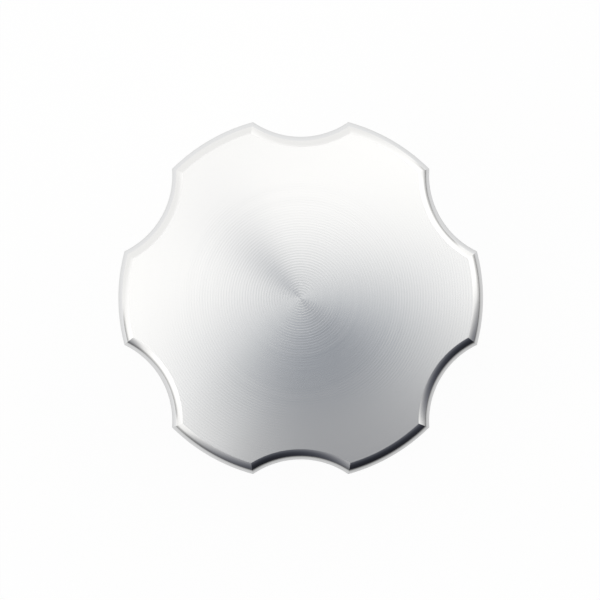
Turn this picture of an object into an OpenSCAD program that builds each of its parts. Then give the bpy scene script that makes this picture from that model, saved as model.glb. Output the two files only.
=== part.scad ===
// Screw-in oil filler cap, turned and milled from one aluminium billet, with its sealing ring.
// The axis is Z. Z = 0 is the end of the threaded stem, on which the cap stands on a bench.

/* [Knob] */
// Diameter over the lobes
knob_d = 52; // [46:0.5:64]
// Height of the knob, from the seat to the top face
knob_h = 12; // [9:0.5:18]
// Number of finger scallops
scallop_count = 6; // [4:1:8]
// Diameter of the cutter that mills a scallop
scallop_d = 24; // [18:0.5:28]
// Depth of a scallop at its middle, measured in from the lobes
scallop_depth = 3; // [1.5:0.25:3.5]
// Radius of the form that rounds the top edge
edge_form_r = 2; // [1:0.1:2.6]
// Angle at which that form breaks into the top face
edge_entry = 12; // [8:1:30]
// Chamfer on the knob's lower edge
base_chamfer = 0.6; // [0.3:0.1:1.2]

/* [Thread] */
// Major diameter of the thread
thread_d = 33; // [30:0.5:35]
// Pitch of the thread
thread_pitch = 2.8; // [2:0.1:3.2]
// Length of the threaded stretch, with the chamfer at each end
thread_len = 12; // [9:0.5:18]
// Length of the plain lead below the thread
lead_len = 2.2; // [1.8:0.1:4]
// How far the lead lies under the thread's root
lead_drop = 0.4; // [0.2:0.1:0.8]
// Chamfer on the end of the stem
end_chamfer = 0.6; // [0.3:0.1:0.9]

/* [Stem bore] */
// Diameter of the blind bore that lightens the stem
bore_d = 23; // [16:0.5:24]
// Metal between the bore and the top face
crown_t = 8; // [5:0.5:11]
// Fillet in the bore's inner corner
bore_fillet = 1.5; // [0.8:0.1:2.5]
// Chamfer at the bore's mouth
mouth_chamfer = 0.5; // [0.3:0.1:0.9]

/* [Sealing ring] */
// Thickness of the ring's round section
ring_t = 3.5; // [2.5:0.1:4]
// Play between the ring and the metal beside it
ring_play = 0.05; // [0.02:0.01:0.2]
// Depth of the turned recess that the ring stands in
recess_depth = 0.4; // [0.2:0.1:0.8]
// How far the neck inside the ring lies under the thread's root
neck_drop = 0.2; // [0.1:0.1:0.6]
// Room on the neck below the ring, where the thread runs out
neck_runout = 0.6; // [0.4:0.1:1.5]

/* [Hidden] */

// Facets of the round faces, and of one turn of the thread
$fn = 96;
turn_facets = 48;
// Turns the thread's facets a little, so that no corner of theirs lies on the seam of a round face
facet_shift = 0.4;
// How far a cutter stands clear of what it cuts
over = 1;

// Thread form: a 60 degree ridge, cut flat at its crest, with a flat root between the turns
flank_angle = 30;
crest_share = 1 / 8;
depth_share = 17 / 24;
sharp_h = thread_pitch / (2 * tan(flank_angle));
thread_r = thread_d / 2;
ridge_r = thread_r + crest_share * sharp_h;
root_r = thread_r - depth_share * sharp_h;
root_flat = thread_pitch - 2 * (ridge_r - root_r) * tan(flank_angle);

lead_r = root_r - lead_drop;
neck_r = root_r - neck_drop;
bore_r = bore_d / 2;

// The ring's section, and the recess that clears it
ring_r = neck_r + ring_play + ring_t / 2;
recess_r = neck_r + ring_t + 2 * ring_play;

// Heights, from the end of the stem
thread_z0 = lead_len;
thread_z1 = thread_z0 + thread_len;
recess_z = thread_z1 + neck_runout + ring_t + 2 * ring_play;
seat_z = recess_z - recess_depth;
top_z = seat_z + knob_h;
bore_z = top_z - crown_t;

knob_r = knob_d / 2;
scallop_r = scallop_d / 2;
scallop_axis_r = knob_r - scallop_depth + scallop_r;

// The top edge's form: an arc that leaves the wall upright and breaks into the face at edge_entry
edge_drop = edge_form_r * cos(edge_entry);
edge_inset = edge_form_r * (1 - sin(edge_entry));

// What the top edge's form takes off a wall at x = 0, with the metal on its left and the face at y = 0
module edge_waste() {
    difference() {
        translate([-edge_inset, -edge_drop])
            square([edge_inset + over, edge_drop + over]);
        translate([-edge_form_r, -edge_drop])
            circle(r = edge_form_r);
    }
}

// What the lower edge's chamfer takes off the same wall, with the seat at y = 0
module chamfer_waste() {
    polygon([
        [-base_chamfer, -over],
        [-base_chamfer, 0],
        [0, base_chamfer],
        [over, base_chamfer],
        [over, -over]
    ]);
}

// The turned blank of the knob
module knob_blank() {
    rotate_extrude()
        difference() {
            translate([0, seat_z])
                square([knob_r, knob_h]);
            translate([knob_r, top_z])
                edge_waste();
            translate([knob_r, seat_z])
                chamfer_waste();
        }
}

// One scallop's cutter. It carries the same two forms as the blank, so the edges meet in a mitre.
module scallop_cutter() {
    rotate_extrude()
        union() {
            translate([0, seat_z - over])
                square([scallop_r, knob_h + 2 * over]);
            translate([scallop_r, top_z])
                mirror([1, 0])
                    edge_waste();
            translate([scallop_r, seat_z])
                mirror([1, 0])
                    chamfer_waste();
        }
}

// The blank with its scallops milled and the ring's recess turned
module knob() {
    difference() {
        knob_blank();
        for (i = [0 : scallop_count - 1])
            let (angle = (i + 0.5) * 360 / scallop_count)
                translate(scallop_axis_r * [cos(angle), sin(angle), 0])
                    scallop_cutter();
        translate([0, 0, seat_z - over])
            cylinder(r = recess_r, h = over + recess_depth);
    }
}

// A rod threaded along its whole length, running past both ends of the stem.
// Each step round the helix has three corners: the root's lower edge, its upper edge and the sharp ridge.
module threaded_rod() {
    low = 0;
    high = 1;
    ridge = 2;
    form = [[root_r, 0], [root_r, root_flat], [ridge_r, (root_flat + thread_pitch) / 2]];
    function at(step, corner) = step * len(form) + corner;

    rod_z = -thread_pitch - over;
    turns = ceil((recess_z + 2 * thread_pitch + 2 * over) / thread_pitch);
    steps = turns * turn_facets;
    last_turn = steps - turn_facets;
    corners = [
        for (i = [0 : steps], p = form)
            let (turn = (i + facet_shift) / turn_facets)
                [
                    p[0] * cos(360 * turn),
                    p[0] * sin(360 * turn),
                    rod_z + turn * thread_pitch + p[1]
                ]
    ];
    foot = len(corners);
    head = foot + 1;
    centres = [
        [0, 0, rod_z - over],
        [0, 0, rod_z + (turns + 1) * thread_pitch + over]
    ];
    root_and_lower_flank = [
        for (i = [0 : steps - 1], k = [low, high])
            each [
                [at(i, k), at(i, k + 1), at(i + 1, k + 1)],
                [at(i, k), at(i + 1, k + 1), at(i + 1, k)]
            ]
    ];
    upper_flank = [
        for (i = [0 : last_turn - 1])
            let (next = i + turn_facets)
                each [
                    [at(i, ridge), at(next, low), at(next + 1, low)],
                    [at(i, ridge), at(next + 1, low), at(i + 1, ridge)]
                ]
    ];
    foot_end = [
        for (i = [0 : turn_facets - 1]) [foot, at(i, low), at(i + 1, low)],
        [foot, at(turn_facets, low), at(0, ridge)],
        [foot, at(0, ridge), at(0, high)],
        [foot, at(0, high), at(0, low)]
    ];
    head_end = [
        for (i = [last_turn : steps - 1]) [head, at(i + 1, ridge), at(i, ridge)],
        [head, at(last_turn, ridge), at(steps, low)],
        [head, at(steps, low), at(steps, high)],
        [head, at(steps, high), at(steps, ridge)]
    ];
    polyhedron(
        points = concat(corners, centres),
        faces = concat(root_and_lower_flank, upper_flank, foot_end, head_end)
    );
}

// The stem as turned before threading: lead, thread with a chamfer at each end, and neck
module stem_blank() {
    rotate_extrude()
        polygon([
            [0, 0],
            [lead_r - end_chamfer, 0],
            [lead_r, end_chamfer],
            [lead_r, thread_z0],
            [thread_r, thread_z0 + thread_r - lead_r],
            [thread_r, thread_z1 - thread_r + neck_r],
            [neck_r, thread_z1],
            [neck_r, recess_z + over],
            [0, recess_z + over]
        ]);
}

module stem() {
    intersection() {
        stem_blank();
        threaded_rod();
    }
}

// The blind bore, with a fillet round its end and a chamfer at its mouth
module stem_bore() {
    rotate_extrude()
        union() {
            difference() {
                translate([0, -over])
                    square([bore_r, bore_z + over]);
                translate([bore_r - bore_fillet, bore_z - bore_fillet])
                    difference() {
                        square(bore_fillet + over);
                        circle(r = bore_fillet);
                    }
            }
            polygon([
                [0, -over],
                [bore_r + mouth_chamfer + over, -over],
                [bore_r, mouth_chamfer],
                [0, mouth_chamfer]
            ]);
        }
}

module cap_body() {
    color("silver")
        difference() {
            union() {
                knob();
                stem();
            }
            stem_bore();
        }
}

// A round-section ring on the neck, with its upper side in the recess
module sealing_ring() {
    color("#1c1c1e")
        translate([0, 0, recess_z - ring_play - ring_t / 2])
            rotate_extrude()
                translate([ring_r, 0])
                    circle(d = ring_t);
}

cap_body();
sealing_ring();
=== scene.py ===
# %% [markdown]
# A screw-in oil filler cap. The real one is turned from a single billet of aluminium, then six finger
# scallops are milled into its rim, so almost everything seen here is bare machined metal. A rubber
# ring sits on the neck under the knob and seals the filler hole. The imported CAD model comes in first.
# It fixes every size, and each piece below is built where it says.

# %% Load the frame
import math

import bmesh
import bpy
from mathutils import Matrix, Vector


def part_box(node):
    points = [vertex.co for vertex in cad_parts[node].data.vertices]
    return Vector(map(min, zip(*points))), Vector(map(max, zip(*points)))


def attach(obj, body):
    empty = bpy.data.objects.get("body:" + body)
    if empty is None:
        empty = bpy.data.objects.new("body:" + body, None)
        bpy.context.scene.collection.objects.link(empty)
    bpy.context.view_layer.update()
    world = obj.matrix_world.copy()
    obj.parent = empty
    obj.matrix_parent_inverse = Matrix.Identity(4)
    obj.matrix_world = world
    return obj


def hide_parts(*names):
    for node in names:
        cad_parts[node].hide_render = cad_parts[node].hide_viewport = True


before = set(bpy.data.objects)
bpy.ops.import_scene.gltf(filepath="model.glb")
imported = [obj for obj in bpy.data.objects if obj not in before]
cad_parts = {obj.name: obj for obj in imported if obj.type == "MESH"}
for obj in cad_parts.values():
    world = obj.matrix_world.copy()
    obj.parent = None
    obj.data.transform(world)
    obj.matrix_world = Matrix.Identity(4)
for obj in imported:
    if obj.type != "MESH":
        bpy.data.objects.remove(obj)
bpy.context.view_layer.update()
scene = bpy.context.scene
MM = 0.001
top_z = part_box("cap_body")[1][2]
print("The cap stands", round(top_z / MM, 2), "mm high")

# %% [markdown]
# The photograph looks straight down on the cap from some way off. One pixel of it is about 0.142 mm at
# the top face, and the cap's axis is a little right of the middle and a little above it. A long lens
# far above would flatten the reflections, so the camera stands 330 mm over the face, as a bench camera
# would.

# %% Camera
PHOTO_W = 600
PIXEL = 0.1418 * MM
AXIS_PX = 300.7
AXIS_PY = 298.1
SENSOR = 36.0
camera_h = 330 * MM

camera_data = bpy.data.cameras.new("camera")
camera_data.sensor_width = SENSOR
camera_data.lens = SENSOR * camera_h / (PHOTO_W * PIXEL)
camera = bpy.data.objects.new("camera", camera_data)
camera.location = ((PHOTO_W / 2 - AXIS_PX) * PIXEL, (AXIS_PY - PHOTO_W / 2) * PIXEL, top_z + camera_h)
scene.collection.objects.link(camera)
scene.camera = camera
print("The lens is", round(camera_data.lens), "mm long")

# %% [markdown]
# Materials, the studio and the Geometry Nodes below are all nets of nodes. Adding each node by hand
# takes four or five lines, so this helper adds one in a single call: the node's kind, what feeds its
# sockets in order, and its settings. A source is another node's output, or a plain value. The kinds
# that are used most have a call of their own.


# %% A helper for node trees
class Net:
    """A node tree, with short ways to add nodes to it."""

    def __init__(self, tree):
        self.tree = tree

    def feed(self, socket, source):
        if isinstance(source, bpy.types.NodeSocket):
            self.tree.links.new(source, socket)
        elif source is not None:
            socket.default_value = source

    def add(self, kind, *sources, named=None, **settings):
        node = self.tree.nodes.new(kind)
        for key, value in settings.items():
            setattr(node, key, value)
        for socket, source in zip(node.inputs, sources):
            self.feed(socket, source)
        for key, source in (named or {}).items():
            self.feed(node.inputs[key], source)
        return node

    def math(self, operation, *sources):
        return self.add("ShaderNodeMath", *sources, operation=operation).outputs[0]

    def vector(self, operation, *sources, scale=None):
        node = self.add("ShaderNodeVectorMath", *sources, operation=operation)
        if scale is not None:
            self.feed(node.inputs["Scale"], scale)
        return node.outputs["Value" if operation in ("DOT_PRODUCT", "LENGTH") else "Vector"]

    def spread(self, value, from_lo, from_hi, to_lo=0.0, to_hi=1.0, smooth=False):
        """Maps a value from one range to another, and holds it at the ends."""
        kind = "SMOOTHSTEP" if smooth else "LINEAR"
        sources = (value, from_lo, from_hi, to_lo, to_hi)
        return self.add("ShaderNodeMapRange", *sources, interpolation_type=kind).outputs[0]

    def blend(self, share, first, second, kind="MIX"):
        """Blends two colours. A Mix node has its colour inputs at places 6 and 7, its output at 2."""
        node = self.add("ShaderNodeMix", data_type="RGBA", blend_type=kind)
        self.feed(node.inputs["Factor"], share)
        self.feed(node.inputs[6], first)
        self.feed(node.inputs[7], second)
        return node.outputs[2]


def shader_net(block):
    """An empty net in a material or a world."""
    block.use_nodes = True
    block.node_tree.nodes.clear()
    return Net(block.node_tree)


print("Node trees are built with", Net.__name__)

# %% [markdown]
# Bare metal shows little of its own: what is seen on it is the studio, which isn't in the photograph.
# Its reflections look like those of a white tent with dark things in it, and this sky is a guess at
# them. One is taken to be a large card beyond the cap's lower right, which makes the nearly black line
# along the rim there. Lamps and real walls could be modelled, but the tent's light is soft and comes
# from all sides, so a sky round the cap is simpler and less noisy. Each direction is measured along the
# card's bearing and across it. These two numbers say how far it is past the card's edge, a straight one
# with a corner in it. Three things turn that into light: close to the card the tent is dimmer, the
# card's soft edge takes a third of the rest, and across the card the light dies away. The open tent's
# light is a little warm, and the card's is bluish. The sky's numbers, here and in the next two cells,
# come from a fit to the brightness of the metal in the photograph, and were then rounded and corrected
# with renders.

# %% The card
CARD_TURN = math.radians(302)
CARD_EDGE = 0.165
CARD_CORNER = -0.14
CARD_SLOPES = (0.39, -0.2)
# How far past the edge each change reaches, and the share of the light that it leaves
DIMMED = (-0.16, -0.05)
DIMMED_REST = 0.78
SOFT_EDGE = (-0.05, 0.0)
SOFT_EDGE_REST = 0.68
FADE = 0.185
FADE_REST = 0.012
TENT_TINT = (1, 0.99, 0.97, 1)
CARD_TINT = (1, 1.07, 1.36, 1)
TINT_CHANGE = (-0.1, 0.7)

world = bpy.data.worlds.new("studio")
scene.world = world
sky = shader_net(world)
direction = sky.add("ShaderNodeTexCoord").outputs["Generated"]


def along_bearing(turn):
    """How far a direction points along a bearing, counted anticlockwise from the X axis."""
    return sky.vector("DOT_PRODUCT", direction, (math.cos(turn), math.sin(turn), 0))


along_card = along_bearing(CARD_TURN)
from_corner = sky.math("SUBTRACT", along_bearing(CARD_TURN + math.pi / 2), CARD_CORNER)
edge_bend = sky.math("MAXIMUM", *(sky.math("MULTIPLY", from_corner, slope) for slope in CARD_SLOPES))
past_edge = sky.math("SUBTRACT", along_card, sky.math("ADD", edge_bend, CARD_EDGE))
dimmed = sky.spread(past_edge, *DIMMED, 1.0, DIMMED_REST)
soft_edge = sky.spread(past_edge, *SOFT_EDGE, 1.0, SOFT_EDGE_REST)
fading = sky.math("EXPONENT", sky.math("DIVIDE", sky.math("MAXIMUM", past_edge, 0), -FADE))
across_card = sky.spread(fading, 0.0, 1.0, FADE_REST, 1.0)
card_rest = sky.math("MULTIPLY", sky.math("MULTIPLY", dimmed, soft_edge), across_card)
tint = sky.blend(sky.spread(past_edge, *TINT_CHANGE, smooth=True), TENT_TINT, CARD_TINT)
print("The studio has a dark card at", round(math.degrees(CARD_TURN)), "degrees")

# %% [markdown]
# The top face mirrors what is nearly straight above. The tent is taken to have an opening there for
# the camera, which makes the soft dark fan that starts at the middle of the face, and a slit on the
# opening's other side, which makes the faint streak. Both could be black shapes hung over the cap, but
# their edges would be too hard, so each is a soft oval painted on the sky. The slit widens outwards, as
# the streak does. The little light that is left in either of them is cooler than the tent's.

# %% The spots overhead
OPENING = {"turn": math.radians(292.4), "away": 0.103, "half_length": 0.096, "half_width": 0.148}
OPENING_REST = (0.162, 0.19, 0.235, 1)
SLIT = {"turn": math.radians(134.5), "away": 0.033, "half_length": 0.082, "half_width": 0.002,
        "widening": 0.208}
SLIT_REST = (0.466, 0.482, 0.52, 1)


def soft_spot(turn, away, half_length, half_width, widening=0.0):
    """A soft oval on a bearing, that far away from straight above. It is 1 in its middle.

    `widening` is what it gains in half width for each step away from straight above.
    """
    along = along_bearing(turn)
    length_share = sky.math("DIVIDE", sky.math("SUBTRACT", along, away), half_length)
    width = sky.math("ADD", sky.math("MULTIPLY", sky.math("ABSOLUTE", along), widening), half_width)
    width_share = sky.math("DIVIDE", along_bearing(turn + math.pi / 2), width)
    squares = sky.math("ADD", sky.math("POWER", length_share, 2), sky.math("POWER", width_share, 2))
    return sky.math("EXPONENT", sky.math("MULTIPLY", squares, -0.5))


light = sky.blend(soft_spot(**OPENING), tint, OPENING_REST, kind="MULTIPLY")
light = sky.blend(soft_spot(**SLIT), light, SLIT_REST, kind="MULTIPLY")
print("The opening leaves", OPENING_REST[1], "of the tent's light")

# %% [markdown]
# The tent is a little brighter on the card's side. Low down on that side it doesn't reach the floor,
# and the gap makes the thin grey line that the photograph shows in the rim, up to where the card hides
# the gap. Walls of the right shape could do the same, but a level for each direction is easier to set.
# Only the camera's own rays see plain white instead, which is the photograph's background.

# %% The tent
TENT_BACK = 0.91
TENT_BRIGHT = 1.15
TENT_RISE = (-0.65, -0.1)
GAP = 0.55
GAP_TURN = math.radians(297)
GAP_SIDES = (-0.42, -0.3)
GAP_HEIGHTS = (0.1, 0.48)
BEHIND_CARD = (0.33, 0.78)
WHITE = (1, 1, 1, 1)

tent_level = sky.spread(along_card, *TENT_RISE, TENT_BACK, TENT_BRIGHT, smooth=True)
height = sky.add("ShaderNodeSeparateXYZ", direction).outputs["Z"]
gap = sky.spread(along_card, *BEHIND_CARD, GAP, 0.0, smooth=True)
low_down = sky.spread(height, *GAP_HEIGHTS, gap, 0.0, smooth=True)
beside_card = sky.spread(along_bearing(GAP_TURN), *GAP_SIDES, smooth=True)
gap_rest = sky.math("SUBTRACT", 1, sky.math("MULTIPLY", low_down, beside_card))
strength = sky.math("MULTIPLY", sky.math("MULTIPLY", tent_level, gap_rest), card_rest)
tent = sky.add("ShaderNodeBackground", light, strength)
seen = sky.add("ShaderNodeBackground", WHITE, 1.0)
rays = sky.add("ShaderNodeLightPath")
mix = sky.add("ShaderNodeMixShader", rays.outputs["Is Camera Ray"], tent.outputs[0], seen.outputs[0])
sky.add("ShaderNodeOutputWorld", mix.outputs[0])
print("The studio's sky has", len(sky.tree.nodes), "nodes")

# %% [markdown]
# The cap stands on a plain pale floor. The photograph's background is pure white with hardly a shadow
# in it, so for the camera most of the floor's brightness is its own, and only a small share is lit and
# can be shaded. The metal's steep edges mirror the floor too. There the photograph shows it bright on
# the tent's side and falling off towards the card, so for mirrored rays a painted shade is laid on the
# floor's own light, darker towards the card, in place of the card's shade. Close to the cap they see
# the floor as it is really lit, with the cap's own shade on it.

# %% Floor
FLOOR_HALF = 3.0
FLOOR_GREY = (0.8, 0.8, 0.8, 1)
CAMERA_SHARE = 0.92
PAPER_WHITE = 1.03
MIRROR_SHARE = 0.8
MIRROR_BRIGHT = 0.9
MIRROR_DIM = 0.0
PAINTED_SHADE_FADE = (-100 * MM, 300 * MM)
SHADE_REACH = 24 * MM
SHADE_END = 46 * MM

floor_mesh = bpy.data.meshes.new("floor")
floor_corners = [(x * FLOOR_HALF, y * FLOOR_HALF, 0) for x, y in ((-1, -1), (1, -1), (1, 1), (-1, 1))]
floor_mesh.from_pydata(floor_corners, [], [(0, 1, 2, 3)])
floor = bpy.data.objects.new("floor", floor_mesh)
scene.collection.objects.link(floor)

paper = bpy.data.materials.new("white_paper")
sheet = shader_net(paper)
rays = sheet.add("ShaderNodeLightPath").outputs
on_floor = sheet.add("ShaderNodeTexCoord").outputs["Object"]
to_card = sheet.vector("DOT_PRODUCT", on_floor, (math.cos(CARD_TURN), math.sin(CARD_TURN), 0))
# Painted shade: for mirrored rays the floor's own light dims along the card's bearing, in place of the
# card's shade
painted_shade_level = sheet.spread(to_card, *PAINTED_SHADE_FADE, MIRROR_BRIGHT, MIRROR_DIM, smooth=True)
own_level = sheet.spread(rays["Is Camera Ray"], 0.0, 1.0, painted_shade_level, PAPER_WHITE)
from_cap = sheet.vector("LENGTH", on_floor)
mirror_share = sheet.spread(from_cap, SHADE_REACH, SHADE_END, 0.0, MIRROR_SHARE, smooth=True)
mirrored = sheet.math("MAXIMUM", rays["Is Glossy Ray"], rays["Is Transmission Ray"])
own_share = sheet.math("MAXIMUM", sheet.math("MULTIPLY", rays["Is Camera Ray"], CAMERA_SHARE),
                       sheet.math("MULTIPLY", mirrored, mirror_share))
lit = sheet.add("ShaderNodeBsdfDiffuse", FLOOR_GREY)
own = sheet.add("ShaderNodeEmission", WHITE, own_level)
mix = sheet.add("ShaderNodeMixShader", own_share, lit.outputs[0], own.outputs[0])
sheet.add("ShaderNodeOutputMaterial", mix.outputs[0])
floor_mesh.materials.append(paper)
print("The floor is", 2 * FLOOR_HALF, "m across")

# %% [markdown]
# The cap's sizes, as on its drawing. They are the sizes that the CAD model is built from, with its
# diameters as radii. Radii are measured from the axis, and heights from the end of the threaded stem,
# where the cap stands. The thread has a metric thread's proportions, as shares of the sharp triangle's
# height that its two flanks would make.

# %% Sizes
LOBES = 6
size = {
    "Knob radius": 26.0,
    "Scallop radius": 12.0,
    "Scallop axis": 35.0,
    "Top": 30.0,
    "Seat": 18.0,
    "Edge form radius": 2.0,
    "Base chamfer": 0.6,
    "Ring recess radius": 18.182,
    "Ring recess height": 18.4,
    "Thread radius": 16.5,
    "Thread pitch": 2.8,
    "Thread start": 2.2,
    "Thread end": 14.2,
    "Lead radius": 14.382,
    "End chamfer": 0.6,
    "Bore radius": 11.5,
    "Bore height": 22.0,
    "Bore fillet": 1.5,
    "Mouth chamfer": 0.5,
}
EDGE_ENTRY = math.radians(12)
FLANK = math.radians(30)
DEPTH_SHARE = 17 / 24
CREST_SHARE = 1 / 8
NECK_RELIEF = 0.2
sharp_h = size["Thread pitch"] / (2 * math.tan(FLANK))
groove_h = (DEPTH_SHARE + CREST_SHARE) * sharp_h
size["Root radius"] = size["Thread radius"] - DEPTH_SHARE * sharp_h
size["Root flat"] = size["Thread pitch"] - 2 * groove_h * math.tan(FLANK)
size["Neck radius"] = size["Root radius"] - NECK_RELIEF
print("The thread's root is", round(size["Root radius"], 3), "mm from the axis")

# %% [markdown]
# The cap's metal is one piece whose whole shape follows rules: a rim of arcs, a lathe profile and a
# helix. Boolean cuts could make it, but they leave uneven faces, so it is built with Geometry Nodes.
# Every surface starts as a flat grid, a strip. Its columns are steps round the axis and its rows go
# along the profile, and Set Position rolls the strip into place. Along the way each strip also stores
# two things for the materials: which cutting tool finished it, and a UV map in metres that follows
# that tool, with U running along the rim and V across it. The helper below makes strips. `step` counts
# columns from the strip's middle, and `along` goes from 0 to 1.


# %% A helper for strips
FINISHES = ("faced", "formed", "turned", "milled")
LOBE_STEPS = 12
SCALLOP_STEPS = 14
SECTOR_STEPS = 2 * (LOBE_STEPS + SCALLOP_STEPS)
HALF_STEP = 0.5


class Strips(Net):
    """A Geometry Nodes tree that rolls flat grids into shape."""

    def __init__(self, tree):
        super().__init__(tree)
        self.inputs = self.add("NodeGroupInput").outputs
        flat = self.add("ShaderNodeSeparateXYZ", self.add("GeometryNodeInputPosition").outputs[0])
        self.step = self.math("ROUND", flat.outputs["X"])
        self.along = self.math("ADD", flat.outputs["Y"], 0.5)
        column = self.math("ABSOLUTE", flat.outputs["X"])
        self.face_column = self.add("GeometryNodeFieldOnDomain", column, domain="FACE").outputs[0]

    def point(self, x=0.0, y=0.0, z=0.0):
        return self.add("ShaderNodeCombineXYZ", x, y, z).outputs[0]

    def around(self, radius, turn, z=0.0):
        """The point at this radius, turned this far round the axis."""
        return self.point(self.math("MULTIPLY", radius, self.math("COSINE", turn)),
                          self.math("MULTIPLY", radius, self.math("SINE", turn)), z)

    def between(self, start, end):
        return self.spread(self.along, 0.0, 1.0, start, end)

    def choose(self, test, no, yes, kind="FLOAT"):
        return self.add("GeometryNodeSwitch", test, no, yes, input_type=kind).outputs[0]

    def store(self, mesh, name, value, kind, domain):
        node = self.add("GeometryNodeStoreNamedAttribute", mesh, data_type=kind, domain=domain,
                        named={"Name": name, "Value": value})
        return node.outputs[0]

    def strip(self, steps, rows, place, finish, uv, mitre=False):
        grid = self.add("GeometryNodeMeshGrid", steps, 1.0, steps + 1, rows + 1)
        mesh = self.store(grid.outputs["Mesh"], "finish", finish, "INT", "FACE")
        mesh = self.store(mesh, "tool_path", uv, "FLOAT2", "CORNER")
        mesh = self.store(mesh, "mitre", mitre, "BOOLEAN", "POINT")
        return self.add("GeometryNodeSetPosition", mesh, named={"Position": place}).outputs[0]


def new_tree(name, inputs, outputs):
    """A Geometry Nodes tree with named sockets, each given by its kind."""
    tree = bpy.data.node_groups.new(name, "GeometryNodeTree")
    for label, kind in inputs.items():
        tree.interface.new_socket(label, in_out="INPUT", socket_type=kind)
    for label, kind in outputs.items():
        tree.interface.new_socket(label, in_out="OUTPUT", socket_type=kind)
    return tree


print("One lobe with half a scallop on each side has", SECTOR_STEPS, "columns")

# %% [markdown]
# The rim's outline is the first rule. Seen from above, a lobe is an arc about the cap's axis and a
# scallop is an arc about the milling cutter's axis, and they meet in a sharp corner. The rounded top
# edge is the same outline drawn again and again, each time a little further in: the lobe's arc shrinks
# by the inset and the scallop's arc grows by it, so the corners run inwards along a mitre, as they do
# in the photograph. The group works out where that corner is from the triangle of the two axes and the
# corner itself, and puts the same number of steps on each side of it at every inset. That keeps a line
# of edges exactly on the mitre.

# %% The outline as a node group
NUMBER = "NodeSocketFloat"
VECTOR = "NodeSocketVector"
outline_inputs = ("Inset", "Knob radius", "Scallop radius", "Scallop axis")
outline_outputs = {"Place": VECTOR, "Run": NUMBER, "In scallop": "NodeSocketBool"}
outline = new_tree("scalloped_outline", dict.fromkeys(outline_inputs, NUMBER), outline_outputs)
arcs = Strips(outline)
lobe_r = arcs.math("SUBTRACT", arcs.inputs["Knob radius"], arcs.inputs["Inset"])
scallop_r = arcs.math("ADD", arcs.inputs["Scallop radius"], arcs.inputs["Inset"])
axis_r = arcs.inputs["Scallop axis"]


def corner_angle(net, near, far, apart):
    """The angle at the first of two centres, from the other one to the corner where their arcs meet."""
    near_and_apart = net.math("ADD", net.math("POWER", near, 2), net.math("POWER", apart, 2))
    squares = net.math("SUBTRACT", near_and_apart, net.math("POWER", far, 2))
    sides = net.math("MULTIPLY", net.math("MULTIPLY", near, apart), 2)
    return net.math("ARCCOSINE", net.math("DIVIDE", squares, sides))


half_sector = math.pi / LOBES
lobe_reach = arcs.math("SUBTRACT", half_sector, corner_angle(arcs, lobe_r, scallop_r, axis_r))
scallop_reach = corner_angle(arcs, scallop_r, lobe_r, axis_r)
steps_out = arcs.math("ABSOLUTE", arcs.step)
lobe_turn = arcs.spread(steps_out, 0, LOBE_STEPS, 0, lobe_reach)
scallop_turn = arcs.spread(steps_out, LOBE_STEPS, LOBE_STEPS + SCALLOP_STEPS, scallop_reach, 0)

# The scallop's arc, seen from the cap's axis along the scallop's middle
towards_axis = arcs.math("MULTIPLY", scallop_r, arcs.math("COSINE", scallop_turn))
scallop_x = arcs.math("SUBTRACT", axis_r, towards_axis)
scallop_y = arcs.math("MULTIPLY", scallop_r, arcs.math("SINE", scallop_turn))
from_middle = arcs.math("ARCTAN2", scallop_y, scallop_x)
scallop_away = arcs.vector("LENGTH", arcs.point(scallop_x, scallop_y))

past_corner = arcs.math("GREATER_THAN", steps_out, LOBE_STEPS + HALF_STEP)
turn = arcs.choose(past_corner, lobe_turn, arcs.math("SUBTRACT", half_sector, from_middle))
away = arcs.choose(past_corner, lobe_r, scallop_away)
place = arcs.around(away, arcs.math("MULTIPLY", turn, arcs.math("SIGN", arcs.step)))
in_scallop = arcs.math("GREATER_THAN", arcs.face_column, LOBE_STEPS)
run = arcs.choose(in_scallop, arcs.math("MULTIPLY", lobe_r, lobe_turn),
                  arcs.math("MULTIPLY", scallop_r, scallop_turn))
arcs.add("NodeGroupOutput", place, run, in_scallop)
print("The outline group has", len(outline.nodes), "nodes")

# %% [markdown]
# One lobe with half a scallop on each side is a sector, and the knob is that sector six times round.
# The sector has five strips: the face, the rounded edge, the wall, the small chamfer under it, and the
# flat seat that looks down at the engine. The edge's strip follows the form of the cutter: an arc that
# leaves the wall upright and breaks into the face at a shallow angle of 12 degrees, which is the crisp
# line round the face. On the face V is the true distance from the axis, so the tool's rings are round
# there, while the grid under them follows the scallops.


# %% The knob's sector
FACE_ROWS = 14
EDGE_ROWS = 16
WALL_ROWS = 4
FOOT_ROWS = 1
SEAT_ROWS = 4


def outline_at(net, inset):
    """The outline group's outputs at this inset."""
    sizes = [net.inputs[label] for label in outline_inputs[1:]]
    group = net.add("GeometryNodeGroup", node_tree=outline)
    for socket, source in zip(group.inputs, [inset] + sizes):
        net.feed(socket, source)
    return group.outputs


def cut_by(name):
    return lambda rim: FINISHES.index(name)


def lobe_or_scallop(net):
    lobe, scallop = FINISHES.index("turned"), FINISHES.index("milled")
    return lambda rim: net.choose(rim["In scallop"], lobe, scallop, "INT")


def knob_strip(net, rows, inset, z, finish, shrink=None, v=None):
    """A strip along the outline at this inset and height. `shrink` scales it towards the axis."""
    rim = outline_at(net, inset)
    flat = rim["Place"] if shrink is None else net.vector("SCALE", rim["Place"], scale=shrink)
    place = net.vector("ADD", flat, net.point(z=z))
    uv = net.point(rim["Run"], z if v is None else v)
    at_corner = net.math("COMPARE", net.math("ABSOLUTE", net.step), LOBE_STEPS, HALF_STEP)
    return net.strip(SECTOR_STEPS, rows, place, finish(rim), uv, mitre=at_corner)


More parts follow.
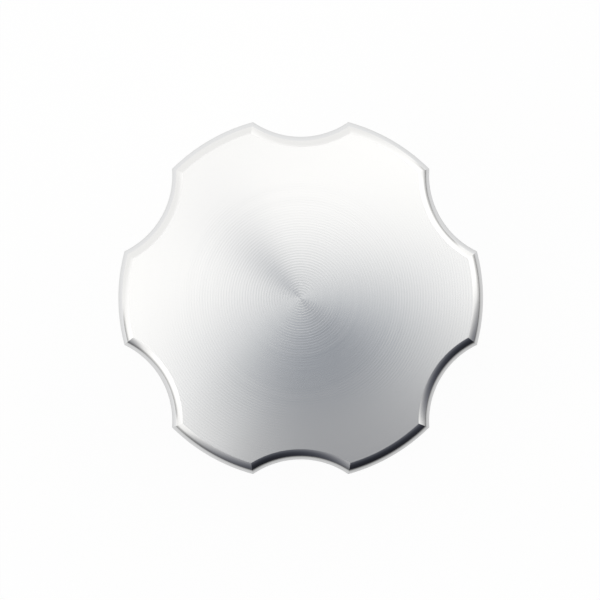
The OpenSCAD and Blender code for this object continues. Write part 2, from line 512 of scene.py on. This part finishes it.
def seat_strip(net, inset, seat):
    """A strip from the outline in to the round recess for the ring."""
    rim = outline_at(net, inset)
    turn = net.math("MULTIPLY", net.step, 2 * half_sector / SECTOR_STEPS)
    inner = net.around(net.inputs["Ring recess radius"], turn)
    outer_share = net.vector("SCALE", rim["Place"], scale=net.math("SUBTRACT", 1, net.along))
    flat = net.vector("ADD", outer_share, net.vector("SCALE", inner, scale=net.along))
    place = net.vector("ADD", flat, net.point(z=seat))
    uv = net.point(rim["Run"], net.vector("LENGTH", flat))
    return net.strip(SECTOR_STEPS, SEAT_ROWS, place, FINISHES.index("faced"), uv)


def knob_sector(net):
    form_r = net.inputs["Edge form radius"]
    top = net.inputs["Top"]
    seat = net.inputs["Seat"]
    chamfer = net.inputs["Base chamfer"]
    edge_inset = net.math("MULTIPLY", form_r, 1 - math.sin(EDGE_ENTRY))
    wall_top = net.math("SUBTRACT", top, net.math("MULTIPLY", form_r, math.cos(EDGE_ENTRY)))
    wall_foot = net.math("ADD", seat, chamfer)

    face_reach = net.vector("LENGTH", outline_at(net, edge_inset)["Place"])
    face = knob_strip(net, FACE_ROWS, edge_inset, top, cut_by("faced"), shrink=net.along,
                      v=net.math("MULTIPLY", net.along, face_reach))

    lean = net.between(EDGE_ENTRY, math.pi / 2)
    inset = net.math("MULTIPLY", form_r, net.math("SUBTRACT", 1, net.math("SINE", lean)))
    edge_z = net.math("ADD", wall_top, net.math("MULTIPLY", form_r, net.math("COSINE", lean)))
    edge_v = net.math("MULTIPLY", form_r, lean)
    edge = knob_strip(net, EDGE_ROWS, inset, edge_z, cut_by("formed"), v=edge_v)

    wall = knob_strip(net, WALL_ROWS, 0.0, net.between(wall_top, wall_foot), lobe_or_scallop(net))
    foot_z = net.between(wall_foot, seat)
    foot = knob_strip(net, FOOT_ROWS, net.between(0.0, chamfer), foot_z, cut_by("formed"))
    return face, edge, wall, foot, seat_strip(net, chamfer, seat)


print("The face has", LOBES * SECTOR_STEPS * FACE_ROWS, "quads before merging")

# %% [markdown]
# The stem's plain parts are lathe work: each strip runs from one corner of the profile to the next and
# is rolled right round the axis. A Screw modifier on a drawn profile would give the same shape, but no
# finish or UV map for each cut. A lathe turns metal while the tool moves along such a profile, so the
# corners are listed as the tool meets them, from the ring's recess down to the tip and up inside the
# blind bore.


# %% The stem's lathe work
ROUND_STEPS = LOBES * SECTOR_STEPS
LATHE_ROWS = 2
FILLET_ROWS = 12


def turned_strip(net, rows, radius, z, finish, v):
    turn = net.math("MULTIPLY", net.step, 2 * math.pi / ROUND_STEPS)
    place = net.around(radius, turn, z)
    uv = net.point(net.math("MULTIPLY", radius, turn), v)
    return net.strip(ROUND_STEPS, rows, place, FINISHES.index(finish), uv)


def lathe_work(net, corners):
    """Strips from each (radius, height) to the next."""
    strips = []
    for (r0, z0), (r1, z1) in zip(corners, corners[1:]):
        radius = net.between(r0, r1)
        z = net.between(z0, z1)
        finish, v = ("faced", radius) if z0 == z1 else ("turned", z)
        strips.append(turned_strip(net, LATHE_ROWS, radius, z, finish, v))
    return strips


def stem(net):
    size_of = net.inputs
    neck_top = [(size_of["Ring recess radius"], size_of["Seat"]),
                (size_of["Ring recess radius"], size_of["Ring recess height"]),
                (size_of["Neck radius"], size_of["Ring recess height"]),
                (size_of["Neck radius"], size_of["Thread end"])]
    tip = net.math("SUBTRACT", size_of["Lead radius"], size_of["End chamfer"])
    mouth = net.math("ADD", size_of["Bore radius"], size_of["Mouth chamfer"])
    fillet = size_of["Bore fillet"]
    fillet_r = net.math("SUBTRACT", size_of["Bore radius"], fillet)
    fillet_z = net.math("SUBTRACT", size_of["Bore height"], fillet)
    tip_and_bore = [(size_of["Lead radius"], size_of["Thread start"]),
                    (size_of["Lead radius"], size_of["End chamfer"]),
                    (tip, 0.0),
                    (mouth, 0.0),
                    (size_of["Bore radius"], size_of["Mouth chamfer"]),
                    (size_of["Bore radius"], fillet_z)]
    bend = net.between(0.0, math.pi / 2)
    bend_r = net.math("ADD", fillet_r, net.math("MULTIPLY", fillet, net.math("COSINE", bend)))
    bend_z = net.math("ADD", fillet_z, net.math("MULTIPLY", fillet, net.math("SINE", bend)))
    bend_v = net.math("MULTIPLY", fillet, bend)
    fillet_strip = turned_strip(net, FILLET_ROWS, bend_r, bend_z, "turned", bend_v)
    bore_end = [(fillet_r, size_of["Bore height"]), (0.0, size_of["Bore height"])]
    return (lathe_work(net, neck_top) + lathe_work(net, tip_and_bore) + [fillet_strip]
            + lathe_work(net, bore_end))


print("Lathe work has", ROUND_STEPS, "columns round the axis")

# %% [markdown]
# The thread is one strip too. Its rows climb by one pitch in a turn, so each row stays on its own line
# of the helix, and where the strip closes on itself a row meets the one that started a pitch higher.
# The row's place within the pitch decides how far out it stands: a flat root, a flank up, a flat
# crest, a flank down, at 60 degrees as on any metric thread. The blank it is cut from has a chamfer at
# each end, so the radius is never more than the blank's. Rows that would run past an end are gathered
# on it, and merging takes them away.


# %% The thread
ROOT_ROWS = 2
FLANK_ROWS = 5
CREST_ROWS = 2
PITCH_ROWS = ROOT_ROWS + CREST_ROWS + 2 * FLANK_ROWS
THREAD_PITCHES = 6
# The height at which the CAD model's helix crosses the X axis. The strip starts at the same place in a
# pitch, one to two pitches under the thread.
HELIX_START = -3.8
thread_phase = (HELIX_START - size["Thread start"]) / size["Thread pitch"] % 1 - 2


def thread(net):
    size_of = net.inputs
    pitch = size_of["Thread pitch"]
    start = size_of["Thread start"]
    end = size_of["Thread end"]
    root_flat = size_of["Root flat"]
    slope = 1 / math.tan(FLANK)
    depth = net.math("SUBTRACT", size_of["Thread radius"], size_of["Root radius"])
    flank = net.math("DIVIDE", depth, slope)
    crest = net.math("SUBTRACT", net.math("SUBTRACT", pitch, root_flat), net.math("MULTIPLY", flank, 2))

    # The row, counted upwards, the whole pitches under it, and the rows since the last whole pitch
    rows = THREAD_PITCHES * PITCH_ROWS
    row = net.math("ROUND", net.math("MULTIPLY", net.math("SUBTRACT", 1, net.along), rows))
    whole = net.math("FLOOR", net.math("DIVIDE", net.math("ADD", row, HALF_STEP), PITCH_ROWS))
    step_in = net.math("SUBTRACT", row, net.math("MULTIPLY", whole, PITCH_ROWS))

    # How much of the root, the flank up, the crest and the flank down lies under the row
    row_marks = [0, ROOT_ROWS, ROOT_ROWS + FLANK_ROWS, ROOT_ROWS + FLANK_ROWS + CREST_ROWS, PITCH_ROWS]
    widths = (root_flat, flank, crest, flank)
    covered = [net.spread(step_in, lo, hi, 0.0, width)
               for lo, hi, width in zip(row_marks, row_marks[1:], widths)]
    in_pitch = covered[0]
    for part in covered[1:]:
        in_pitch = net.math("ADD", in_pitch, part)
    rise = net.math("SUBTRACT", covered[1], covered[3])
    form_r = net.math("ADD", size_of["Root radius"], net.math("MULTIPLY", rise, slope))

    turn_share = net.math("DIVIDE", net.step, ROUND_STEPS)
    climbed = net.math("ADD", net.math("ADD", whole, turn_share), thread_phase)
    free_z = net.math("ADD", net.math("ADD", start, in_pitch), net.math("MULTIPLY", climbed, pitch))
    z = net.math("MINIMUM", net.math("MAXIMUM", free_z, start), end)
    from_start = net.math("ADD", size_of["Lead radius"], net.math("SUBTRACT", z, start))
    from_end = net.math("ADD", size_of["Neck radius"], net.math("SUBTRACT", end, z))
    radius = net.math("MINIMUM", net.math("MINIMUM", form_r, from_start), from_end)
    along_helix = net.math("SUBTRACT", free_z, net.math("MULTIPLY", turn_share, pitch))
    return turned_strip(net, rows, radius, z, "turned", along_helix)


print("The thread's strip starts", round(-thread_phase, 3), "pitches under the thread")

# %% [markdown]
# Cutting tools leave fine lines, and on bare aluminium they matter more than the colour. Light is
# reflected sharply along the lines and smeared widely across them, which is what turns the studio's
# reflection into the fans on the face. The smear itself is the shader's anisotropy. The lines that can
# be seen one by one are a group, shared by all four finishes: a ripple at the tool's feed, which
# wanders a little in depth, with finer random scratches between. It puts out a height for a Bump node,
# and a value that varies from line to line.


# %% Tool marks, a shared group
DRIFT_SCALE = 0.37
HAIR_SCALE = 2.3
RIPPLE_SHARE = 0.5
HAIR_SHARE = 0.6


def new_group(name, inputs, outputs):
    """A shader group. An input is given by its kind and its value, an output by its kind."""
    group = bpy.data.node_groups.new(name, "ShaderNodeTree")
    for label, (kind, value) in inputs.items():
        group.interface.new_socket(label, in_out="INPUT", socket_type=kind).default_value = value
    for label, kind in outputs.items():
        group.interface.new_socket(label, in_out="OUTPUT", socket_type=kind)
    net = Net(group)
    return net, net.add("NodeGroupInput").outputs


marks, given = new_group(
    "tool_marks",
    {"Across": (NUMBER, 0.0), "Feed": (NUMBER, 0.0004), "Unevenness": (NUMBER, 0.5)},
    {"Height": NUMBER, "Line": NUMBER},
)
in_feeds = marks.math("DIVIDE", given["Across"], given["Feed"])


def line_noise(scale):
    """A noise along one line, counted in feeds of the tool."""
    noise = marks.add("ShaderNodeTexNoise", noise_dimensions="1D",
                      named={"W": in_feeds, "Scale": scale, "Detail": 2.0})
    return noise.outputs[0]


ripple = marks.math("COSINE", marks.math("MULTIPLY", in_feeds, 2 * math.pi))
drift = line_noise(DRIFT_SCALE)
depth = marks.spread(given["Unevenness"], 0.0, 1.0, 1.0, drift)
ripple_height = marks.math("MULTIPLY", marks.math("MULTIPLY", ripple, depth), RIPPLE_SHARE)
hair_height = marks.math("MULTIPLY", marks.math("SUBTRACT", line_noise(HAIR_SCALE), 0.5), HAIR_SHARE)
marks.add("NodeGroupOutput", marks.math("ADD", ripple_height, hair_height), drift)
tool_marks = marks.tree
print("The tool marks group has", len(tool_marks.nodes), "nodes")

# %% [markdown]
# Even clean metal isn't quite even: fingers and cloths leave faint patches that are a little duller.
# This second group makes such patches from two noises on the cap's own coordinates, for the roughness
# of the metal and of the rubber.

# %% Handling, a shared group
PATCH_SCALE = 70.0
PATCH_RANGE = (0.45, 0.75)
PATCH_SHARE = 0.7
GRAIN_SCALE = 420.0
GRAIN_RANGE = (0.3, 0.7)
GRAIN_SHARE = 0.3

smudge, given = new_group(
    "handling",
    {"Position": (VECTOR, (0, 0, 0)), "Amount": (NUMBER, 0.1)},
    {"Dulled": NUMBER},
)
position = given["Position"]
broad = smudge.add("ShaderNodeTexNoise", position,
                   named={"Scale": PATCH_SCALE, "Detail": 3.0, "Distortion": 0.4})
small = smudge.add("ShaderNodeTexNoise", position, named={"Scale": GRAIN_SCALE, "Detail": 2.0})
patches = smudge.spread(broad.outputs[0], *PATCH_RANGE, smooth=True)
grain = smudge.spread(small.outputs[0], *GRAIN_RANGE)
both = smudge.math("ADD", smudge.math("MULTIPLY", patches, PATCH_SHARE),
                   smudge.math("MULTIPLY", grain, GRAIN_SHARE))
smudge.add("NodeGroupOutput", smudge.math("MULTIPLY", both, given["Amount"]))
handling = smudge.tree
print("The handling group has", len(handling.nodes), "nodes")

# %% [markdown]
# A faced surface is never quite flat. It is a shallow cone or dome, far too shallow to see in the
# outline, but a change of a few degrees decides which part of the studio is seen. The shape could be
# modelled, but then the face would no longer fit the CAD's box. So this third group leans the face's
# normal outwards in proportion to the radius.

# %% A crowned face, a shared group
LEAN = 0.109
LEAN_AT = 24 * MM

crown, given = new_group(
    "crowned_face",
    {"Position": (VECTOR, (0, 0, 0)), "Lean": (NUMBER, LEAN)},
    {"Normal": VECTOR},
)
outward = crown.vector("MULTIPLY", given["Position"], (1, 1, 0))
push = crown.vector("SCALE", outward, scale=crown.math("DIVIDE", given["Lean"], LEAN_AT))
normal = crown.add("ShaderNodeNewGeometry").outputs["Normal"]
crown.add("NodeGroupOutput", crown.vector("NORMALIZE", crown.vector("ADD", normal, push)))
crowned_face = crown.tree
print("A face leans by", round(math.degrees(LEAN), 1), "degrees at", LEAN_AT / MM, "mm")

# %% [markdown]
# Four finishes use these groups, and one function makes them all, because only the tool differs. On the
# faced and turned ones the lines run round the axis, so light smears in the plane through the axis: the
# tangent is the direction round the axis crossed with the surface's normal. On the scallops the milling
# cutter stood upright and left upright lines, so the tangent runs level instead. Aluminium also carries
# a thin haze of oxide that scatters a little light, so the metal's share stays a little under 1, apart
# from the freshly cut edge.

# %% The aluminium finishes
ALUMINIUM = (0.93, 0.935, 0.94, 1.0)
LINE_RANGE = (0.3, 0.7)
LINE_CHANGE = 0.06


def use_group(net, group, **values):
    """Places a group. Its inputs are given by name, with _ for a space."""
    node = net.add("ShaderNodeGroup", node_tree=group)
    for label, source in values.items():
        net.feed(node.inputs[label.replace("_", " ")], source)
    return node.outputs


def aluminium(name, feed, depth, roughness, anisotropy, bare=0.9, upright=False, lean=0.0, dulling=0.05):
    """A machined finish.

    `bare` is the share without haze. The tool's lines run round the axis, or stand `upright`.
    """
    material = bpy.data.materials.new(name)
    net = shader_net(material)
    position = net.add("ShaderNodeTexCoord").outputs["Object"]
    normal = net.add("ShaderNodeNewGeometry").outputs["Normal"]
    path = net.add("ShaderNodeSeparateXYZ", net.add("ShaderNodeUVMap", uv_map="tool_path").outputs[0])
    lines = use_group(net, tool_marks, Across=path.outputs["X" if upright else "Y"], Feed=feed)
    dull = use_group(net, handling, Position=position, Amount=dulling)

    if upright:
        tangent = net.vector("CROSS_PRODUCT", (0, 0, 1), normal)
    else:
        outward = net.vector("MULTIPLY", position, (1, 1, 0))
        around = net.vector("NORMALIZE", net.vector("CROSS_PRODUCT", (0, 0, 1), outward))
        tangent = net.vector("CROSS_PRODUCT", around, normal)

    bump = net.add("ShaderNodeBump",
                   named={"Strength": 1.0, "Distance": depth, "Height": lines["Height"]})
    if lean:
        leaned = use_group(net, crowned_face, Position=position, Lean=lean)["Normal"]
        net.feed(bump.inputs["Normal"], leaned)
    line_gloss = net.spread(lines["Line"], *LINE_RANGE, roughness * (1 - LINE_CHANGE),
                            roughness * (1 + LINE_CHANGE))
    shader = net.add("ShaderNodeBsdfPrincipled", named={
        "Base Color": ALUMINIUM,
        "Metallic": bare,
        "Roughness": net.math("ADD", line_gloss, dull["Dulled"]),
        "Anisotropic": anisotropy,
        "Normal": bump.outputs[0],
        "Tangent": net.vector("NORMALIZE", tangent),
    })
    net.add("ShaderNodeOutputMaterial", shader.outputs[0])
    return material


finishes = {
    "faced": aluminium("faced_aluminium", feed=0.38 * MM, depth=0.0016 * MM, roughness=0.125,
                       anisotropy=0.81, bare=0.88, lean=LEAN, dulling=0.01),
    "formed": aluminium("form_cut_aluminium", feed=0.25 * MM, depth=0.0002 * MM, roughness=0.1,
                        anisotropy=0.4, bare=1.0, dulling=0.02),
    "turned": aluminium("turned_aluminium", feed=0.3 * MM, depth=0.002 * MM, roughness=0.24,
                        anisotropy=0.7),
    "milled": aluminium("milled_aluminium", feed=0.35 * MM, depth=0.002 * MM, roughness=0.22,
                        anisotropy=0.6, upright=True),
}
print("Finishes:", ", ".join(material.name for material in finishes.values()))

# %% [markdown]
# A tree ends in the same way for each piece. Realize Instances makes copies real faces. Merging joins
# every strip to its neighbours, so the piece is one closed shell. Lines where two surfaces meet at a
# clear angle stay sharp, and so do the mitres, and all else is shaded smooth. Last, each finish's faces
# get their material.

# %% Joining and shading
SHARP = math.radians(8)
MERGE = 0.001 * MM


def joined(net, parts):
    join = net.add("GeometryNodeJoinGeometry")
    for part in parts:
        net.tree.links.new(part, join.inputs[0])
    return join.outputs[0]


def finished(net, parts, materials):
    """Realizes, merges and shades the parts, and gives each finish its material."""
    shape = net.add("GeometryNodeRealizeInstances", joined(net, parts)).outputs[0]
    shape = net.add("GeometryNodeMergeByDistance", shape, named={"Distance": MERGE}).outputs[0]
    shape = net.add("GeometryNodeFlipFaces", shape).outputs[0]
    fold = net.add("GeometryNodeInputMeshEdgeAngle").outputs[0]
    mitre = net.add("GeometryNodeInputNamedAttribute", "mitre", data_type="BOOLEAN").outputs[0]
    soft = net.math("MULTIPLY", net.math("LESS_THAN", fold, SHARP), net.math("SUBTRACT", 1, mitre))
    for domain, smooth in (("FACE", True), ("EDGE", soft)):
        shape = net.add("GeometryNodeSetShadeSmooth", shape, domain=domain,
                        named={"Shade Smooth": smooth}).outputs[0]
    finish = net.add("GeometryNodeInputNamedAttribute", "finish", data_type="INT").outputs[0]
    for name, material in materials.items():
        chosen = net.math("COMPARE", finish, FINISHES.index(name), HALF_STEP)
        shape = net.add("GeometryNodeSetMaterial", shape,
                        named={"Selection": chosen, "Material": material}).outputs[0]
    net.add("NodeGroupOutput", shape)


print("Edges that fold by more than", round(math.degrees(SHARP)), "degrees stay sharp")

# %% [markdown]
# A Geometry Nodes modifier runs a tree. Its sizes go in by each socket's identifier, and the result is
# kept as a plain mesh, so that nothing has to be worked out again later. A second helper measures the
# mesh and stops the script if the shell is open or inside out.


# %% Running a tree
def run_tree(tree, name, values):
    """Runs a tree in a modifier on a new object, and keeps the result as that object's plain mesh."""
    piece = bpy.data.objects.new(name, bpy.data.meshes.new(name))
    scene.collection.objects.link(piece)
    modifier = piece.modifiers.new(tree.name, "NODES")
    modifier.node_group = tree
    for socket in tree.interface.items_tree:
        if socket.in_out == "INPUT":
            modifier[socket.identifier] = values[socket.name] * MM
    depsgraph = bpy.context.evaluated_depsgraph_get()
    made = piece.evaluated_get(depsgraph)
    mesh = bpy.data.meshes.new_from_object(made, preserve_all_data_layers=True, depsgraph=depsgraph)
    piece.modifiers.clear()
    piece.data = mesh
    mesh.name = name
    return piece


def check_shell(piece):
    """Prints a piece's size, and stops if its shell isn't closed with its faces pointing outwards."""
    shell = bmesh.new()
    shell.from_mesh(piece.data)
    open_edges = sum(not edge.is_manifold for edge in shell.edges)
    volume = shell.calc_volume(signed=True)
    shell.free()
    print(piece.name, len(piece.data.polygons), "faces,", round(volume / MM**3, 1), "cubic mm")
    if open_edges or volume <= 0:
        raise ValueError(f"{piece.name} has {open_edges} open edges and a volume of {volume}")


# %% [markdown]
# Now the strips come together into the billet. The sector is placed six times by Instance on Points,
# each copy turned by a sixth, because the six lobes are alike and one of them is enough to build. The
# thread and the stem are made once.

# %% The machined piece
cap_tree = new_tree("machined_cap", dict.fromkeys(size, NUMBER), {"Geometry": "NodeSocketGeometry"})
cap = Strips(cap_tree)
points = cap.add("GeometryNodePoints", LOBES).outputs[0]
sector_turn = cap.math("MULTIPLY", cap.add("GeometryNodeInputIndex").outputs[0], 2 * math.pi / LOBES)
knob = cap.add("GeometryNodeInstanceOnPoints", points, named={
    "Instance": joined(cap, knob_sector(cap)),
    "Rotation": cap.point(z=sector_turn),
}).outputs[0]
finished(cap, [knob, thread(cap)] + stem(cap), finishes)
print("The cap's tree has", len(cap_tree.nodes), "nodes")

machined = run_tree(cap_tree, "machined_cap", size)
check_shell(machined)

# %% [markdown]
# Black rubber looks flat only from afar. Close up it has a slight grain from the mould, it is greyer
# and duller where it has been handled, and its gloss is weak and wide. It uses the handling group too.

# %% Rubber
RUBBER_BLACK = (0.018, 0.018, 0.019, 1)
RUBBER_HANDLED = (0.05, 0.05, 0.05, 1)
RUBBER_ROUGHNESS = 0.42
RUBBER_DULLING = 0.18
RUBBER_SPECULAR = 0.4
MOULD_GRAIN_SCALE = 2600.0
MOULD_GRAIN_DEPTH = 0.01 * MM
MOULD_GRAIN_STRENGTH = 0.6


def moulded_rubber():
    material = bpy.data.materials.new("moulded_rubber")
    net = shader_net(material)
    position = net.add("ShaderNodeTexCoord").outputs["Object"]
    dulled = use_group(net, handling, Position=position, Amount=RUBBER_DULLING)["Dulled"]
    grain = net.add("ShaderNodeTexNoise", position, named={"Scale": MOULD_GRAIN_SCALE, "Detail": 3.0})
    bump = net.add("ShaderNodeBump", named={
        "Strength": MOULD_GRAIN_STRENGTH,
        "Distance": MOULD_GRAIN_DEPTH,
        "Height": grain.outputs[0],
    })
    shader = net.add("ShaderNodeBsdfPrincipled", named={
        "Base Color": net.blend(dulled, RUBBER_BLACK, RUBBER_HANDLED),
        "Roughness": net.math("ADD", dulled, RUBBER_ROUGHNESS),
        "Specular IOR Level": RUBBER_SPECULAR,
        "Normal": bump.outputs[0],
    })
    net.add("ShaderNodeOutputMaterial", shader.outputs[0])
    return material


rubber = moulded_rubber()
print("The rubber's material is", rubber.name)

# %% [markdown]
# The sealing ring is moulded rubber with a round section, a torus. Two halves of a mould closed on it,
# and where they met they left a hair-thin line of flash right round the outside and the inside. A
# torus from the Add menu has no such line, so the ring is one strip, as the stem's surfaces are: its
# rows go once round the section, and close to the parting plane they stand out by the flash's height.
# The strip has a single finish, which gets the rubber.

# %% The sealing ring
ring_size = {
    "Middle radius": 16.382,
    "Section radius": 1.75,
    "Middle height": 16.6,
    "Flash height": 0.03,
    "Flash half width": 0.1,
}
SECTION_ROWS = 96

ring_tree = new_tree("moulded_ring", dict.fromkeys(ring_size, NUMBER), {"Geometry": "NodeSocketGeometry"})
torus = Strips(ring_tree)
ring_in = torus.inputs
section_turn = torus.between(0.0, -2 * math.pi)
upright = torus.math("ABSOLUTE", torus.math("SINE", section_turn))
from_parting = torus.math("MULTIPLY", upright, ring_in["Section radius"])
flash = torus.spread(from_parting, 0.0, ring_in["Flash half width"], ring_in["Flash height"], 0.0)
section_r = torus.math("ADD", ring_in["Section radius"], flash)
outwards = torus.math("MULTIPLY", section_r, torus.math("COSINE", section_turn))
upwards = torus.math("MULTIPLY", section_r, torus.math("SINE", section_turn))
ring_r = torus.math("ADD", ring_in["Middle radius"], outwards)
ring_z = torus.math("ADD", ring_in["Middle height"], upwards)
ring_v = torus.math("MULTIPLY", section_r, section_turn)
finished(torus, [turned_strip(torus, SECTION_ROWS, ring_r, ring_z, "turned", ring_v)], {"turned": rubber})

ring = run_tree(ring_tree, "moulded_ring", ring_size)
check_shell(ring)

# %% [markdown]
# Both pieces stand for their CAD nodes and ride on the cap's only body. The CAD solids stay in the
# physics model and hide here.

# %% Hand over
for piece, node, slot in ((machined, "cap_body", "aluminium"), (ring, "sealing_ring", "rubber")):
    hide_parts(node)
    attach(piece, "root")

scene.view_settings.view_transform = "Standard"
